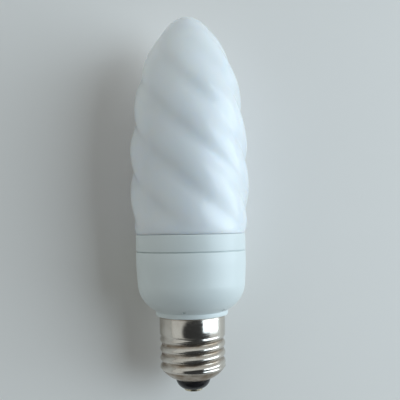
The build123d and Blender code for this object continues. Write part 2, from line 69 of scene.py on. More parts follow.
def roundedOutline(corners, segments=4):
    points = []
    for i, (r, z, rounding) in enumerate(corners):
        here = Vector((r, z))
        before = Vector(corners[i - 1][:2]) - here
        after = Vector(corners[(i + 1) % len(corners)][:2]) - here
        if rounding == 0 or before.length == 0 or after.length == 0:
            points.append((r, z))
            continue
        reach = min(rounding, before.length * 0.49, after.length * 0.49)
        start = here + before.normalized() * reach
        end = here + after.normalized() * reach
        for step in range(segments + 1):
            t = step / segments
            point = start * (1 - t) ** 2 + here * 2 * t * (1 - t) + end * t ** 2
            points.append((point.x, point.y))
    return points


def spunShape(outline, steps, leftOpen=None):
    bm = bmesh.new()
    line = [bm.verts.new((r, 0, z)) for r, z in outline]
    runs = [run for i, run in enumerate(zip(line, line[1:])) if i != leftOpen]
    if outline[0][0] > 0 or outline[-1][0] > 0:
        runs.append((line[-1], line[0]))
    edges = [bm.edges.new(run) for run in runs]
    bmesh.ops.spin(bm, geom=line + edges, cent=(0, 0, 0), axis=(0, 0, 1), angle=2 * pi,
                   steps=steps, use_merge=True)
    bmesh.ops.remove_doubles(bm, verts=bm.verts, dist=mergeDistance)
    bmesh.ops.recalc_face_normals(bm, faces=bm.faces)
    return bm


def scaleAcross(vert, scale):
    vert.co.x *= scale
    vert.co.y *= scale


def drillBit(radius, depth, segments, place):
    bm = bmesh.new()
    bmesh.ops.create_cone(bm, cap_ends=True, segments=segments, radius1=radius, radius2=radius, depth=depth)
    bmesh.ops.transform(bm, matrix=place, verts=bm.verts)
    return bm


def finishPiece(name, bm, material, node, sharpDegrees=38):
    bmesh.ops.transform(bm, matrix=lampToWorld, verts=bm.verts)
    mesh = bpy.data.meshes.new(name)
    bm.to_mesh(mesh)
    bm.free()
    for face in mesh.polygons:
        face.use_smooth = True
    mesh.set_sharp_from_angle(angle=radians(sharpDegrees))
    piece = bpy.data.objects.new(name, mesh)
    bpy.context.collection.objects.link(piece)
    mesh.materials.append(material)
    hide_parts(node)
    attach(piece, "root")
    return piece


def cutAway(piece, drillBits):
    cutters = []
    for bm in drillBits:
        bmesh.ops.transform(bm, matrix=lampToWorld, verts=bm.verts)
        mesh = bpy.data.meshes.new("cutter")
        bm.to_mesh(mesh)
        bm.free()
        cutter = bpy.data.objects.new("cutter", mesh)
        bpy.context.collection.objects.link(cutter)
        cutters.append(cutter)
        cut = piece.modifiers.new("cut", "BOOLEAN")
        cut.object = cutter
        cut.operation = "DIFFERENCE"
        cut.solver = "EXACT"
    depsgraph = bpy.context.evaluated_depsgraph_get()
    cutMesh = bpy.data.meshes.new_from_object(piece.evaluated_get(depsgraph))
    piece.modifiers.clear()
    piece.data = cutMesh
    for cutter in cutters:
        bpy.data.objects.remove(cutter)


# Shader helpers

def newMaterial(name):
    material = bpy.data.materials.new(name)
    material.use_nodes = True
    nodes = material.node_tree.nodes
    shader = nodes["Principled BSDF"]
    place = nodes.new("ShaderNodeTexCoord")
    return material, material.node_tree, shader, place


def addNode(tree, kind, **settings):
    node = tree.nodes.new(kind)
    for key, value in settings.items():
        setattr(node, key, value)
    return node


def setInputs(node, **values):
    for key, value in values.items():
        node.inputs[key.replace("_", " ")].default_value = value


def makeGroup(name, inputs, outputs):
    group = bpy.data.node_groups.new(name, "ShaderNodeTree")
    for label, kind, value in inputs:
        socket = group.interface.new_socket(label, in_out="INPUT", socket_type=kind)
        if value is not None:
            socket.default_value = value
    for label, kind in outputs:
        group.interface.new_socket(label, in_out="OUTPUT", socket_type=kind)
    return group, group.nodes.new("NodeGroupInput"), group.nodes.new("NodeGroupOutput")


def mottleGroup():
    group, given, result = makeGroup(
        "mottledTone",
        [("Vector", "NodeSocketVector", None), ("Scale", "NodeSocketFloat", 60.0),
         ("Low", "NodeSocketFloat", 0.0), ("High", "NodeSocketFloat", 1.0)],
        [("Tone", "NodeSocketFloat")],
    )
    cloud = addNode(group, "ShaderNodeTexNoise")
    setInputs(cloud, Detail=4.0, Roughness=0.55)
    spread = addNode(group, "ShaderNodeMapRange")
    setInputs(spread, From_Min=0.3, From_Max=0.7)
    group.links.new(given.outputs["Vector"], cloud.inputs["Vector"])
    group.links.new(given.outputs["Scale"], cloud.inputs["Scale"])
    group.links.new(cloud.outputs["Fac"], spread.inputs["Value"])
    group.links.new(given.outputs["Low"], spread.inputs["To Min"])
    group.links.new(given.outputs["High"], spread.inputs["To Max"])
    group.links.new(spread.outputs["Result"], result.inputs["Tone"])
    return group


def handledGroup():
    group, given, result = makeGroup(
        "fineHandling",
        [("Vector", "NodeSocketVector", None), ("Smooth", "NodeSocketFloat", 0.2),
         ("Worn", "NodeSocketFloat", 0.35), ("Scratch Scale", "NodeSocketFloat", 900.0)],
        [("Roughness", "NodeSocketFloat"), ("Height", "NodeSocketFloat")],
    )
    smear = addNode(group, "ShaderNodeTexNoise")
    setInputs(smear, Scale=90.0, Detail=5.0, Roughness=0.6)
    streaks = addNode(group, "ShaderNodeMapping")
    streaks.inputs["Scale"].default_value = (0.25, 1.0, 1.0)
    scratch = addNode(group, "ShaderNodeTexNoise")
    setInputs(scratch, Detail=2.0, Roughness=0.5)
    blendTone = addNode(group, "ShaderNodeMath", operation="MULTIPLY")
    spread = addNode(group, "ShaderNodeMapRange")
    setInputs(spread, From_Min=0.15, From_Max=0.4)
    group.links.new(given.outputs["Vector"], smear.inputs["Vector"])
    group.links.new(given.outputs["Vector"], streaks.inputs["Vector"])
    group.links.new(streaks.outputs["Vector"], scratch.inputs["Vector"])
    group.links.new(given.outputs["Scratch Scale"], scratch.inputs["Scale"])
    group.links.new(smear.outputs["Fac"], blendTone.inputs[0])
    group.links.new(scratch.outputs["Fac"], blendTone.inputs[1])
    group.links.new(blendTone.outputs["Value"], spread.inputs["Value"])
    group.links.new(given.outputs["Smooth"], spread.inputs["To Min"])
    group.links.new(given.outputs["Worn"], spread.inputs["To Max"])
    group.links.new(spread.outputs["Result"], result.inputs["Roughness"])
    group.links.new(scratch.outputs["Fac"], result.inputs["Height"])
    return group


def lampPlaceGroup():
    group, given, result = makeGroup(
        "lampPlace",
        [("Vector", "NodeSocketVector", None)],
        [("Place", "NodeSocketVector"), ("Radius", "NodeSocketFloat")],
    )
    toLamp = addNode(group, "ShaderNodeMapping", vector_type="TEXTURE")
    toLamp.inputs["Location"].default_value = lampToWorld.translation
    toLamp.inputs["Rotation"].default_value = lampTurn
    across = addNode(group, "ShaderNodeVectorMath", operation="MULTIPLY")
    across.inputs[1].default_value = (1, 1, 0)
    span = addNode(group, "ShaderNodeVectorMath", operation="LENGTH")
    group.links.new(given.outputs["Vector"], toLamp.inputs["Vector"])
    group.links.new(toLamp.outputs["Vector"], across.inputs[0])
    group.links.new(across.outputs["Vector"], span.inputs[0])
    group.links.new(toLamp.outputs["Vector"], result.inputs["Place"])
    group.links.new(span.outputs["Value"], result.inputs["Radius"])
    return group


mottledTone = mottleGroup()
fineHandling = handledGroup()
lampPlace = lampPlaceGroup()


def groupNode(tree, group, place, **values):
    node = addNode(tree, "ShaderNodeGroup")
    node.node_tree = group
    tree.links.new(place.outputs["Object"], node.inputs["Vector"])
    setInputs(node, **values)
    return node


def tonedColour(tree, tone, dark, light):
    mix = addNode(tree, "ShaderNodeMix", data_type="RGBA")
    mix.inputs["A"].default_value = (*dark, 1)
    mix.inputs["B"].default_value = (*light, 1)
    tree.links.new(tone, mix.inputs["Factor"])
    return mix.outputs["Result"]


def bumpFrom(tree, shader, height, strength, distance):
    bump = addNode(tree, "ShaderNodeBump")
    setInputs(bump, Strength=strength, Distance=distance)
    tree.links.new(height, bump.inputs["Height"])
    tree.links.new(bump.outputs["Normal"], shader.inputs["Normal"])
    return bump


def mottledColour(tree, shader, place, scale, dark, light):
    tone = groupNode(tree, mottledTone, place, Scale=scale)
    tree.links.new(tonedColour(tree, tone.outputs["Tone"], dark, light), shader.inputs["Base Color"])
    return tone.outputs["Tone"]


def handledRoughness(tree, shader, place, smooth, worn, scratchScale):
    handled = groupNode(tree, fineHandling, place, Smooth=smooth, Worn=worn, Scratch_Scale=scratchScale)
    tree.links.new(handled.outputs["Roughness"], shader.inputs["Roughness"])
    return handled.outputs["Height"]


# Opal glass cover, blown with six lobes that twist to the left

glassCover = {
    "steps": 252,
    "rows": 120,
    "rowCrowding": 1.35,
    "innerRows": 25,
    "innerCrowding": 1.3,
    "lobes": 6,
    "twistPitch": 116.0,
    "twistDatum": 80.2,
    "wall": 1.0,
    "neckRadius": 20.35,
    "neckEnd": 59.4,
    "neckRounding": 0.15,
    "footRounding": 0.1,
    "innerShift": 0.3,
    "innerWall": 1.1,
    "footRadius": 21.5,
    "shoulderRadius": 21.8,
    "shoulderRise": 0.12,
    "bodyRise": 0.3,
    "valleySoftness": 0.34,
    "sagFrequency": 0.055,
    "sagDepth": 0.12,
    # height, crest radius and depth of the valleys
    "stations": [
        (62.4, 21.9, 0.0), (64.2, 22.4, 0.4), (66.5, 23.0, 1.2), (70.5, 23.45, 1.9), (76.0, 23.8, 2.3),
        (83.0, 24.0, 2.4), (89.9, 24.0, 2.4), (97.0, 23.8, 2.4), (103.5, 23.2, 2.3), (110.0, 22.5, 2.1),
        (116.0, 21.8, 1.9), (122.0, 20.8, 1.7), (127.5, 19.2, 1.5), (132.5, 17.4, 1.2), (137.0, 15.3, 0.9),
        (141.0, 12.9, 0.6), (144.5, 10.15, 0.35), (147.6, 7.45, 0.15), (149.75, 4.75, 0.05), (150.8, 2.6, 0.0),
        (151.15, 0.0, 0.0),
    ],
}


def stationValue(stations, z, column):
    heights = [station[0] for station in stations]
    i = max(1, min(len(heights) - 1, next((k for k, h in enumerate(heights) if h >= z), len(heights) - 1)))
    z0, z1 = heights[i - 1], heights[i]
    v0, v1 = stations[i - 1][column], stations[i][column]
    slope = [0.0, 0.0]
    for side, k in enumerate((i - 1, i)):
        low, high = max(0, k - 1), min(len(heights) - 1, k + 1)
        slope[side] = (stations[high][column] - stations[low][column]) / (heights[high] - heights[low])
    t = max(0.0, min(1.0, (z - z0) / (z1 - z0)))
    span = z1 - z0
    return ((2 * t ** 3 - 3 * t ** 2 + 1) * v0 + (t ** 3 - 2 * t ** 2 + t) * span * slope[0]
            + (3 * t ** 2 - 2 * t ** 3) * v1 + (t ** 3 - t ** 2) * span * slope[1])


def lobeRadius(crest, depth, turn, softness, lobes):
    if depth < 0.01:
        return crest
    half = pi / lobes
    off = abs((turn + half) % (2 * half) - half) / half
    if off > 1 - softness:
        off -= (off - 1 + softness) ** 2 / (2 * softness)
    valley = crest - depth
    centre = (crest ** 2 - valley ** 2) / (2 * (crest - valley * cos(half)))
    radius = crest - centre
    phi = off * half
    return centre * cos(phi) + sqrt(max(0.0, radius ** 2 - (centre * sin(phi)) ** 2))


def makeGlassCover(material):
    g = glassCover
    stations = g["stations"]
    footZ, tipZ = stations[0][0], stations[-1][0]
    neckR = g["neckRadius"]
    outline = [
        (neckR - g["wall"], g["neckEnd"]),
        (neckR - g["neckRounding"], g["neckEnd"]),
        (neckR, g["neckEnd"] + g["neckRounding"]),
        (neckR, footZ - g["footRounding"]),
        (neckR + g["footRounding"], footZ),
        (g["footRadius"], footZ),
        (g["shoulderRadius"], footZ + g["shoulderRise"]),
    ]
    bodyZ = footZ + g["bodyRise"]
    for i in range(1, g["rows"]):
        eased = 1 - (1 - i / g["rows"]) ** g["rowCrowding"]  # closer rows near the tip
        z = bodyZ + (tipZ - bodyZ) * eased
        outline.append((max(0.0, stationValue(stations, z, 1)), z))
    tip = len(outline)
    outline += [(0.0, tipZ), (0.0, tipZ - g["wall"])]
    innerDepth = tipZ - footZ - 2 * g["wall"]
    for i in range(1, g["innerRows"] + 1):
        z = tipZ - g["wall"] - innerDepth * (i / g["innerRows"]) ** g["innerCrowding"]
        outside = stationValue(stations, z + g["innerShift"], 1)
        outline.append((max(0.0, outside - g["innerWall"]), z))
    bm = spunShape(outline, g["steps"], leftOpen=tip)
    for vert in bm.verts:
        r = vert.co.xy.length
        if vert.co.z <= footZ + 0.05 or r < 0.01:
            continue
        crest = stationValue(stations, vert.co.z, 1)
        depth = max(0.0, stationValue(stations, vert.co.z, 2))
        turn = atan2(vert.co.y, vert.co.x) + 2 * pi * (vert.co.z - g["twistDatum"]) / g["twistPitch"]
        shrink = lobeRadius(crest, depth, turn, g["valleySoftness"], g["lobes"]) - crest
        sag = abs(noise.noise(vert.co * g["sagFrequency"])) * g["sagDepth"] * min(1.0, depth)
        scaleAcross(vert, (r + shrink - sag) / r)
    finishPiece("glassCoverBlown", bm, material, "glass_cover", sharpDegrees=60)


# Opal glass scatters light from ridge to ridge, so its broad shading follows the cover's mean shape

glassShading = {
    "softness": 0.74,
    "domeStart": 0.095, "domeEnd": 0.137, "domeLift": 0.0081,  # metres along the lamp
}


def meanShapeNormal(tree, place):
    g = glassShading
    onLamp = groupNode(tree, lampPlace, place)
    axes = addNode(tree, "ShaderNodeSeparateXYZ")
    dome = addNode(tree, "ShaderNodeMapRange")
    setInputs(dome, From_Min=g["domeStart"], From_Max=g["domeEnd"], To_Min=0.0, To_Max=g["domeLift"])
    outward = addNode(tree, "ShaderNodeCombineXYZ")
    toWorld = addNode(tree, "ShaderNodeMapping", vector_type="VECTOR")
    toWorld.inputs["Rotation"].default_value = lampTurn
    unit = addNode(tree, "ShaderNodeVectorMath", operation="NORMALIZE")
    surface = addNode(tree, "ShaderNodeNewGeometry")
    facing = addNode(tree, "ShaderNodeVectorMath", operation="DOT_PRODUCT")
    side = addNode(tree, "ShaderNodeMath", operation="SIGN")
    sided = addNode(tree, "ShaderNodeVectorMath", operation="SCALE")
    blend = addNode(tree, "ShaderNodeMix", data_type="VECTOR")
    blend.inputs["Factor"].default_value = g["softness"]
    tree.links.new(onLamp.outputs["Place"], axes.inputs["Vector"])
    tree.links.new(axes.outputs["X"], outward.inputs["X"])
    tree.links.new(axes.outputs["Y"], outward.inputs["Y"])
    tree.links.new(axes.outputs["Z"], dome.inputs["Value"])
    tree.links.new(dome.outputs["Result"], outward.inputs["Z"])
    tree.links.new(outward.outputs["Vector"], toWorld.inputs["Vector"])
    tree.links.new(toWorld.outputs["Vector"], unit.inputs[0])
    tree.links.new(unit.outputs["Vector"], facing.inputs[0])
    tree.links.new(surface.outputs["Normal"], facing.inputs[1])
    tree.links.new(facing.outputs["Value"], side.inputs[0])
    tree.links.new(unit.outputs["Vector"], sided.inputs[0])
    tree.links.new(side.outputs["Value"], sided.inputs["Scale"])
    vectors = [socket for socket in blend.inputs if socket.type == "VECTOR" and socket.name in ("A", "B")]
    tree.links.new(surface.outputs["Normal"], vectors[0])
    tree.links.new(sided.outputs["Vector"], vectors[1])
    evened = addNode(tree, "ShaderNodeVectorMath", operation="NORMALIZE")
    tree.links.new(next(socket for socket in blend.outputs if socket.type == "VECTOR"), evened.inputs[0])
    return evened.outputs["Vector"]


def opalGlass():
    material, tree, shader, place = newMaterial("opalGlass")
    mottledColour(tree, shader, place, 35.0, (0.83, 0.875, 0.96), (0.875, 0.915, 0.985))
    handledRoughness(tree, shader, place, 0.33, 0.42, 420.0)
    setInputs(shader, IOR=1.5, Subsurface_Weight=1.0, Subsurface_Scale=0.0009, Coat_Weight=0.55,
              Coat_Roughness=0.11)
    shader.inputs["Subsurface Radius"].default_value = (1.0, 0.9, 0.8)
    ripple = addNode(tree, "ShaderNodeTexNoise")
    setInputs(ripple, Scale=75.0, Detail=1.0, Roughness=0.4)
    tree.links.new(place.outputs["Object"], ripple.inputs["Vector"])
    bump = bumpFrom(tree, shader, ripple.outputs["Fac"], 0.2, 0.001)
    tree.links.new(meanShapeNormal(tree, place), bump.inputs["Normal"])
    return material


# Ballast housing and tube holder, moulded in glossy white plastic

housing = {
    "radius": 22.0, "wall": 1.6, "topZ": 55.5, "straightZ": 50.5, "draftRadius": 21.55, "cornerZ": 43.5,
    "cornerRadius": 12.5, "rimRadius": 14.4, "rimZ": 30.2, "neckRadius": 12.75, "neckBottomZ": 23.6,
    "rimRounding": 0.5, "neckRounding": 0.3, "edgeRounding": 0.2, "draftBlend": 0.4, "steps": 224,
    "outsideSteps": 26, "insideSteps": 14,
    "ventCount": 6, "ventRadius": 0.75, "ventZ": 33.1, "ventOffset": 1.2, "ventAngle": -100.0, "ventDepth": 8,
    "ventSegments": 24,
}


def makeHousing(material):
    h = housing
    cornerX = h["draftRadius"] - h["cornerRadius"]
    rimDrop = sqrt(h["cornerRadius"] ** 2 - (h["rimRadius"] - cornerX) ** 2)
    boreR = h["neckRadius"] - h["wall"]
    innerCorner = h["cornerRadius"] - h["wall"]
    boreDrop = sqrt(innerCorner ** 2 - (boreR - cornerX) ** 2)
    rimAngle = -degrees(asin(rimDrop / h["cornerRadius"]))
    boreAngle = -degrees(asin(boreDrop / innerCorner))
    outside = arcPoints(cornerX, h["cornerZ"], h["cornerRadius"], rimAngle, 0, h["outsideSteps"])
    inside = arcPoints(cornerX, h["cornerZ"], innerCorner, 0, boreAngle, h["insideSteps"])
    rimTopZ = outside[0][1]
    lower = roundedOutline([
        (h["neckRadius"], h["neckBottomZ"], h["neckRounding"]),
        (h["neckRadius"], h["rimZ"], 0),
        (h["rimRadius"], h["rimZ"], h["rimRounding"]),
        (h["rimRadius"], rimTopZ, 0),
        (h["rimRadius"] - 5, rimTopZ, 0),
    ])
    # the last two corners only close the loop for the rounding
    outline = lower[:-2] + [(h["rimRadius"], rimTopZ - 0.25)] + outside[1:]
    outline += [
        (h["radius"] - 0.02, h["straightZ"] - h["draftBlend"]),
        (h["radius"], h["straightZ"] + h["draftBlend"]),
        (h["radius"], h["topZ"] - h["edgeRounding"]),
        (h["radius"] - h["edgeRounding"] * 0.3, h["topZ"] - h["edgeRounding"] * 0.3),
        (h["radius"] - h["edgeRounding"], h["topZ"]),
        (h["radius"] - h["wall"], h["topZ"]),
        (h["radius"] - h["wall"], h["straightZ"]),
    ]
    outline += inside + [(boreR, h["neckBottomZ"])]
    bm = spunShape(outline, h["steps"])
    piece = finishPiece("ballastHousingMoulded", bm, material, "ballast_housing")
    vents = []
    ventReach = h["rimRadius"] + h["ventOffset"] - cornerX
    for i in range(h["ventCount"]):
        turn = radians(h["ventAngle"] + 360 / h["ventCount"] * i)
        lean = Vector((cos(turn) * ventReach, sin(turn) * ventReach, h["ventZ"] - h["cornerZ"])).normalized()
        start = Vector((cos(turn) * cornerX, sin(turn) * cornerX, h["cornerZ"]))
        spinTo = Vector((0, 0, 1)).rotation_difference(lean).to_matrix().to_4x4()
        place = Matrix.Translation(start + lean * h["cornerRadius"]) @ spinTo
        vents.append(drillBit(h["ventRadius"], h["ventDepth"], h["ventSegments"], place))
    cutAway(piece, vents)


holder = {
    "radius": 22.0, "topZ": 62.3, "seamZ": 55.85, "shoulderZ": 55.5, "skirtRadius": 20.35, "skirtBottomZ": 52.0,
    "skirtWall": 1.3, "seamDepth": 0.8, "plateZ": 56.5, "plateTopZ": 58.0, "glassRadius": 20.4, "steps": 224,
    "tubeHoles": 6, "tubeRingRadius": 10.2, "tubeHoleRadius": 3.9, "tubeHoleDepth": 6, "tubeAngle": -60.0,
    "tubeHoleSegments": 48,
}


def makeTubeHolder(material):
    h = holder
    outline = roundedOutline([
        (h["skirtRadius"] - h["skirtWall"], h["skirtBottomZ"], 0.2),
        (h["skirtRadius"], h["skirtBottomZ"], 0.3),
        (h["skirtRadius"], h["shoulderZ"], 0),
        (h["radius"] - h["seamDepth"], h["shoulderZ"], 0),
        (h["radius"] - h["seamDepth"], h["seamZ"], 0),
        (h["radius"], h["seamZ"], 0.25),
        (h["radius"], h["topZ"], 0.5),
        (h["glassRadius"], h["topZ"], 0.2),
        (h["glassRadius"], h["plateTopZ"], 0.3),
        (0.0, h["plateTopZ"], 0),
        (0.0, h["plateZ"], 0),
        (h["skirtRadius"] - h["skirtWall"], h["plateZ"], 0.4),
    ])
    bm = spunShape(outline, h["steps"])
    piece = finishPiece("tubeHolderMoulded", bm, material, "tube_holder")
    holes = []
    for i in range(h["tubeHoles"]):
        turn = radians(h["tubeAngle"] + 360 / h["tubeHoles"] * i)
        place = Matrix.Translation((cos(turn) * h["tubeRingRadius"], sin(turn) * h["tubeRingRadius"], h["plateZ"]))
        holes.append(drillBit(h["tubeHoleRadius"], h["tubeHoleDepth"], h["tubeHoleSegments"], place))
    cutAway(piece, holes)


def whitePlastic():
    material, tree, shader, place = newMaterial("whiteHousingPlastic")
    mottledColour(tree, shader, place, 22.0, (0.745, 0.805, 0.795), (0.785, 0.84, 0.83))
    handledRoughness(tree, shader, place, 0.3, 0.4, 700.0)
    setInputs(shader, IOR=1.49)
    flow = addNode(tree, "ShaderNodeTexNoise")
    setInputs(flow, Scale=140.0, Detail=2.0, Roughness=0.45)
    tree.links.new(place.outputs["Object"], flow.inputs["Vector"])
    bumpFrom(tree, shader, flow.outputs["Fac"], 0.1, 0.0002)
    return material


# Screw cap: plain skirt, rolled right-handed thread, dished end with a turned-in lip

screwCap = {
    "steps": 288, "threadRows": 108,
    "skirtRadius": 13.1, "skirtTopZ": 30.15, "metal": 0.3,
    "threadTopZ": 23.1, "threadBottomZ": 10.0, "pitch": 3.629, "crestRadius": 13.05, "rootRadius": 12.2,
    "runOut": 1.3, "threadPhase": 11.71,
    "lipRadius": 7.0, "lipZ": 5.5,
    "dish": [(8.6, 5.95), (9.6, 6.5), (10.5, 7.15), (11.3, 7.9), (11.95, 8.6), (12.45, 9.2), (12.85, 9.7)],
    "dishInside": [(11.3, 8.6), (10.79, 7.81), (9.2, 6.75)],
    "insideSkirtZ": 23.2, "insideThreadTopZ": 22.7, "insideThreadBottomZ": 10.2,
}


def threadRadius(z, turn):
    cap = screwCap
    wave = 0.5 + 0.5 * cos(2 * pi * ((z - cap["threadPhase"]) / cap["pitch"] - turn / (2 * pi)))
    wave = wave ** 0.85  # the crests are a little fuller than the roots
    depth = cap["crestRadius"] - cap["rootRadius"]
    above = min(1.0, max(0.0, (cap["threadTopZ"] - z) / cap["runOut"]))
    below = min(1.0, max(0.0, (z - cap["threadBottomZ"]) / cap["runOut"]))
    fade = above * below
    fade = fade * fade * (3 - 2 * fade)
    return cap["crestRadius"] - depth * (1 - wave) * fade


def makeScrewCap(material):
    cap = screwCap
    rows = cap["threadRows"]
    rise = cap["threadTopZ"] - cap["threadBottomZ"]
    outside = [
        (cap["lipRadius"], cap["lipZ"] + 0.25),
        (cap["lipRadius"] + 0.12, cap["lipZ"] + 0.02),
        (cap["lipRadius"] + 0.45, cap["lipZ"] - 0.08),
        (cap["lipRadius"] + 0.8, cap["lipZ"] + 0.05),
    ]
    outside += cap["dish"]
    outside += [(cap["crestRadius"], cap["threadBottomZ"] + rise * i / rows) for i in range(rows + 1)]
    outside += [
        (cap["skirtRadius"], cap["threadTopZ"] + 0.25),
        (cap["skirtRadius"], cap["skirtTopZ"] - 0.15),
        (cap["skirtRadius"] - 0.08, cap["skirtTopZ"]),
    ]
    boreR = cap["rootRadius"] - cap["metal"]
    inside = [
        (cap["skirtRadius"] - cap["metal"], cap["skirtTopZ"]),
        (cap["skirtRadius"] - cap["metal"], cap["insideSkirtZ"]),
        (boreR, cap["insideThreadTopZ"]),
        (boreR, cap["insideThreadBottomZ"]),
    ]
    inside += cap["dishInside"] + [(cap["lipRadius"] + 0.1, cap["lipZ"] + 0.33)]
    bm = spunShape(outside + inside, cap["steps"])
    for vert in bm.verts:
        r = vert.co.xy.length
        if abs(r - cap["crestRadius"]) <= 0.02 and vert.co.z <= cap["threadTopZ"] + 0.1:
            scaleAcross(vert, threadRadius(vert.co.z, atan2(vert.co.y, vert.co.x)) / r)
    finishPiece("screwCapRolled", bm, material, "screw_shell", sharpDegrees=60)


# Metres along and across the lamp: painted shade darkens the thread's roots, and a painted shadow lies under the
# housing's rim

paintedShadePlaces = {"unshadedRadius": 0.01275, "shadedRadius": 0.01225, "rimStart": 0.0294, "rimEnd": 0.03}


def nickelPlate():
    t = paintedShadePlaces
    material, tree, shader, place = newMaterial("nickelPlate")
    tone = groupNode(tree, mottledTone, place, Scale=160.0)
    bareColour = tonedColour(tree, tone.outputs["Tone"], (0.60, 0.55, 0.49), (0.72, 0.68, 0.62))
    onLamp = groupNode(tree, lampPlace, place)
    axes = addNode(tree, "ShaderNodeSeparateXYZ")
    # painted shade: the thread's roots, inside the crest radius, turn dark and brownish
    root = addNode(tree, "ShaderNodeMapRange")
    setInputs(root, From_Min=t["unshadedRadius"], From_Max=t["shadedRadius"])
    # painted shadow: a dark band along the top of the skirt, right under the housing's rim
    rimShadow = addNode(tree, "ShaderNodeMapRange")
    setInputs(rimShadow, From_Min=t["rimStart"], From_Max=t["rimEnd"])
    paintedShade = addNode(tree, "ShaderNodeMath", operation="MAXIMUM")
    patchy = groupNode(tree, mottledTone, place, Scale=260.0, Low=0.35)
    patchyShade = addNode(tree, "ShaderNodeMath", operation="MULTIPLY")
    # the painted shade and shadow are mixed into the nickel's colour, patchy where the mottle is high, and also
    # raise its roughness
    shadedColour = addNode(tree, "ShaderNodeMix", data_type="RGBA")
    shadedColour.inputs["B"].default_value = (0.24, 0.17, 0.11, 1)
    dulled = addNode(tree, "ShaderNodeMapRange")
    setInputs(dulled, To_Max=0.42)
    tree.links.new(onLamp.outputs["Place"], axes.inputs["Vector"])
    tree.links.new(onLamp.outputs["Radius"], root.inputs["Value"])
    tree.links.new(axes.outputs["Z"], rimShadow.inputs["Value"])
    tree.links.new(root.outputs["Result"], paintedShade.inputs[0])
    tree.links.new(rimShadow.outputs["Result"], paintedShade.inputs[1])
    tree.links.new(paintedShade.outputs["Value"], patchyShade.inputs[0])
    tree.links.new(patchy.outputs["Tone"], patchyShade.inputs[1])
    tree.links.new(patchyShade.outputs["Value"], shadedColour.inputs["Factor"])
    tree.links.new(bareColour, shadedColour.inputs["A"])
    tree.links.new(shadedColour.outputs["Result"], shader.inputs["Base Color"])
    handled = groupNode(tree, fineHandling, place, Smooth=0.12, Worn=0.26, Scratch_Scale=1500.0)
    tree.links.new(patchyShade.outputs["Value"], dulled.inputs["Value"])
    tree.links.new(handled.outputs["Roughness"], dulled.inputs["To Min"])
    tree.links.new(dulled.outputs["Result"], shader.inputs["Roughness"])
    setInputs(shader, Metallic=1.0)
    bumpFrom(tree, shader, handled.outputs["Height"], 0.12, 0.00008)
    return material


# Black insulator, centre contact and its solder

capEnd = {
    "holeRadius": 0.45, "bowlRadius": 3.75, "bowlZ": 1.3, "contactRadius": 3.7, "contactZ": 0.6,
    "contactRounding": 0.45, "seatTopZ": 8.9, "steps": 96, "solderSteps": 64,
    "bowl": [(6.95, 5.5), (6.9, 5.0), (6.75, 4.3), (6.45, 3.5), (6.0, 2.8), (5.45, 2.2), (4.85, 1.75),
             (4.2, 1.45)],
    "seat": [(6.95, 5.85), (9.0, 6.85), (10.6, 8.0), (11.2, 8.9)],
    "solderDome": [(0.0, 0.02), (0.9, 0.05), (1.6, 0.16), (2.15, 0.32), (2.55, 0.5), (2.65, 0.6), (0.0, 0.6)],
}


def makeInsulator(material):
    e = capEnd
    outline = [(e["holeRadius"], e["seatTopZ"]), (e["holeRadius"], e["bowlZ"]), (e["bowlRadius"], e["bowlZ"])]
    outline += e["bowl"][::-1] + e["seat"]
    bm = spunShape(outline, e["steps"])
    finishPiece("capInsulatorGlass", bm, material, "cap_insulator", sharpDegrees=50)


def makeContact(material):
    e = capEnd
    outline = roundedOutline([
        (e["holeRadius"], e["contactZ"], 0),
        (e["contactRadius"], e["contactZ"], e["contactRounding"]),
        (e["contactRadius"], e["bowlZ"], 0),
        (e["holeRadius"], e["bowlZ"], 0),
    ])
    bm = spunShape(outline, e["steps"])
    finishPiece("centreContactDisc", bm, material, "centre_contact")


def makeSolder(material):
    e = capEnd
    bm = spunShape(e["solderDome"], e["solderSteps"])
    for vert in bm.verts:
        if vert.co.z < e["contactZ"] - 0.02:
            swell = noise.noise(Vector((vert.co.x, vert.co.y, 0.4)) * 0.9)
            vert.co.z = max(0.01, vert.co.z + 0.12 * swell)
    finishPiece("contactSolderDrop", bm, material, "contact_solder", sharpDegrees=60)


def blackGlass():
    material, tree, shader, place = newMaterial("blackInsulatorGlass")
    tone = mottledColour(tree, shader, place, 300.0, (0.006, 0.006, 0.007), (0.02, 0.018, 0.02))
    handledRoughness(tree, shader, place, 0.12, 0.26, 900.0)
    setInputs(shader, Specular_IOR_Level=0.3)
    bumpFrom(tree, shader, tone, 0.15, 0.0002)
    return material


def softMetal(name, dark, light, smooth, worn):
    material, tree, shader, place = newMaterial(name)
    mottledColour(tree, shader, place, 420.0, dark, light)
    height = handledRoughness(tree, shader, place, smooth, worn, 1300.0)
    setInputs(shader, Metallic=1.0)
    bumpFrom(tree, shader, height, 0.2, 0.0001)
    return material


def innerFinish(name, dark, light, smooth, worn, scale, depth):
    material, tree, shader, place = newMaterial(name)
    tone = mottledColour(tree, shader, place, scale, dark, light)
    handledRoughness(tree, shader, place, smooth, worn, 800.0)
    bumpFrom(tree, shader, tone, 0.25, depth)
    return material


def copperWinding():
    material, tree, shader, place = newMaterial("enamelledCopper")
    # the wave bands paint shade into the grooves between the wire turns, with the lighter copper on each turn's
    # crown
    turns = addNode(tree, "ShaderNodeTexWave", bands_direction="Y")
    setInputs(turns, Scale=900.0, Distortion=0.4, Detail=1.0)
    tree.links.new(place.outputs["Object"], turns.inputs["Vector"])
    colour = tonedColour(tree, turns.outputs["Fac"], (0.22, 0.07, 0.03), (0.62, 0.28, 0.12))
    tree.links.new(colour, shader.inputs["Base Color"])
    setInputs(shader, Metallic=0.6, Roughness=0.35)
    bumpFrom(tree, shader, turns.outputs["Fac"], 0.6, 0.00015)
    return material


# Camera: fitted to the seams and the outline in the photo, which is 400 pixels wide

photoView = {"imageWidth": 400, "focalPixels": 540.0, "height": 218.9, "alongAxis": 64.6, "aside": 4.1,
             "pitchDegrees": 2.97, "rollDegrees": -1.17}


